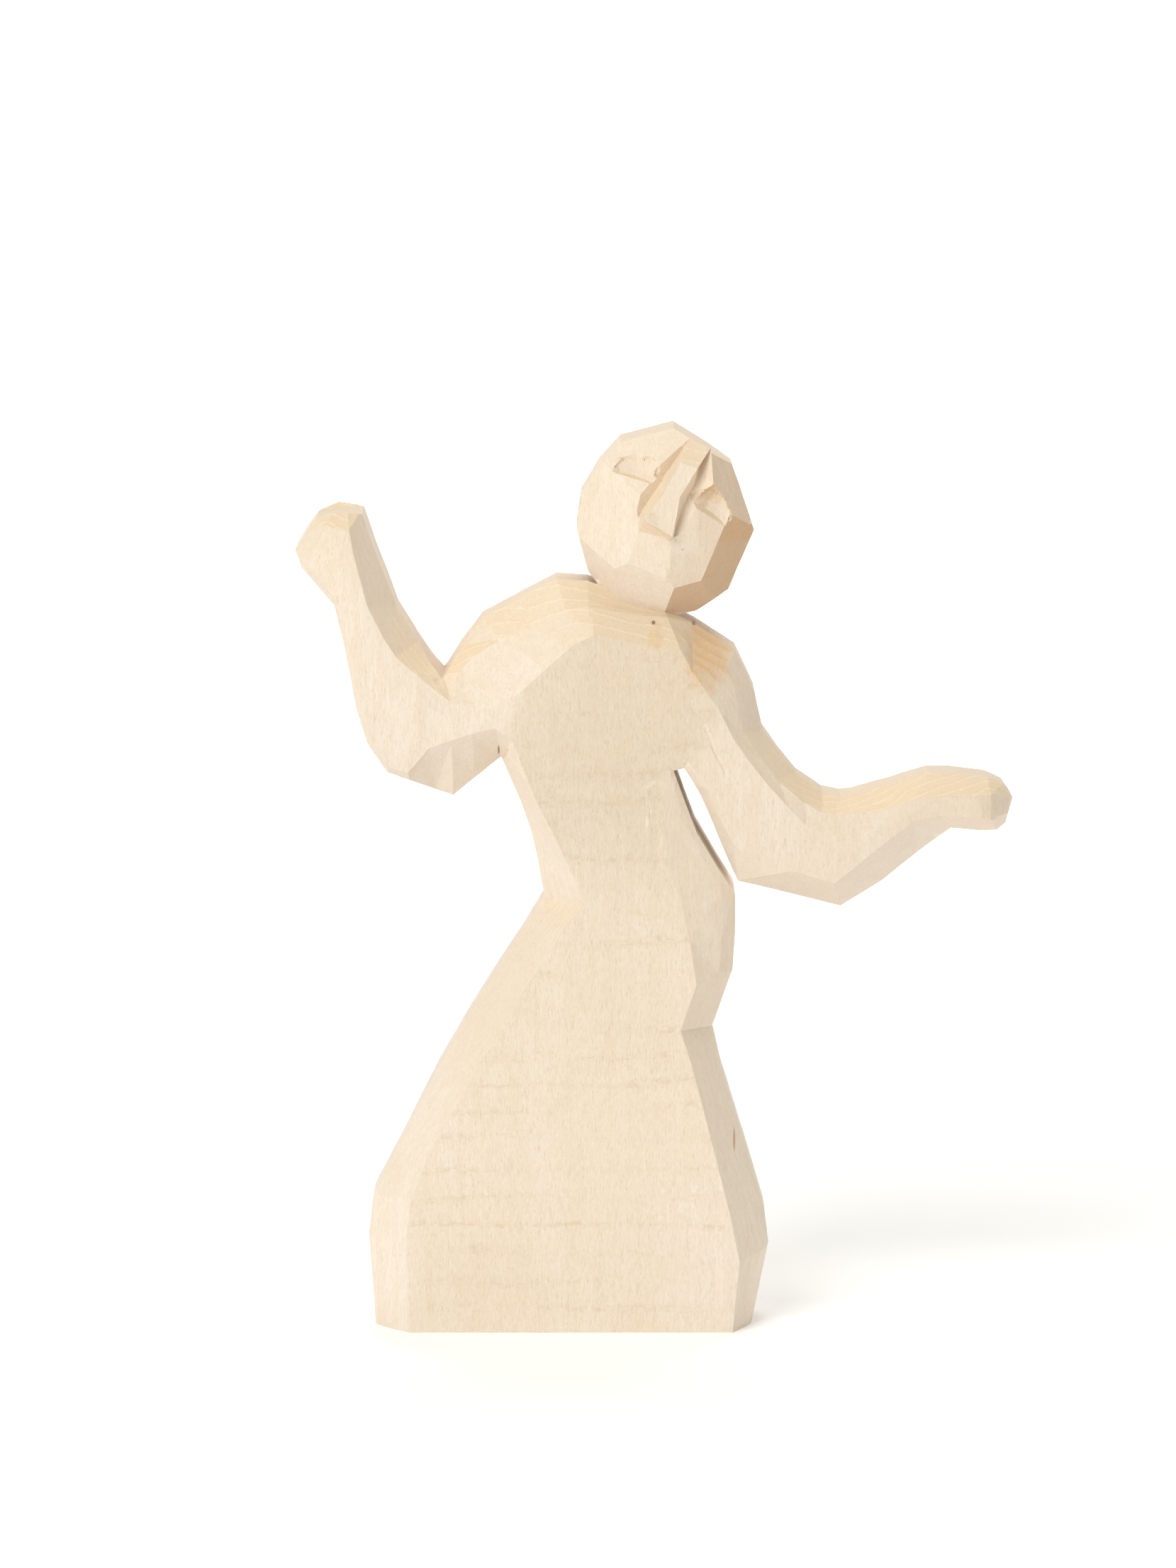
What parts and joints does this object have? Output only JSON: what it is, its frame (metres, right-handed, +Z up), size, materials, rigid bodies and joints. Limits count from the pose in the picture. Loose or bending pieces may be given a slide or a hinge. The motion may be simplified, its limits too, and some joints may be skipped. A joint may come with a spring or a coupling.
{
  "type": "carved wooden figure",
  "caption": "Knife-carved figure of a dancing woman in pale wood: long flared skirt, one arm raised, the other held out low, head tilted.",
  "frame": {"origin": "middle of the bounding box, at the level of the hem that the figure stands on", "axes": "+Z up, -Y the figure's carved front with the face, +X to the viewer's right, towards the lowered arm"},
  "size_m": [0.156, 0.038, 0.197],
  "materials": {
    "limewood": "matte"
  },
  "bodies": {
    "root": {"carved_figure": "limewood"}
  },
  "joints": []
}
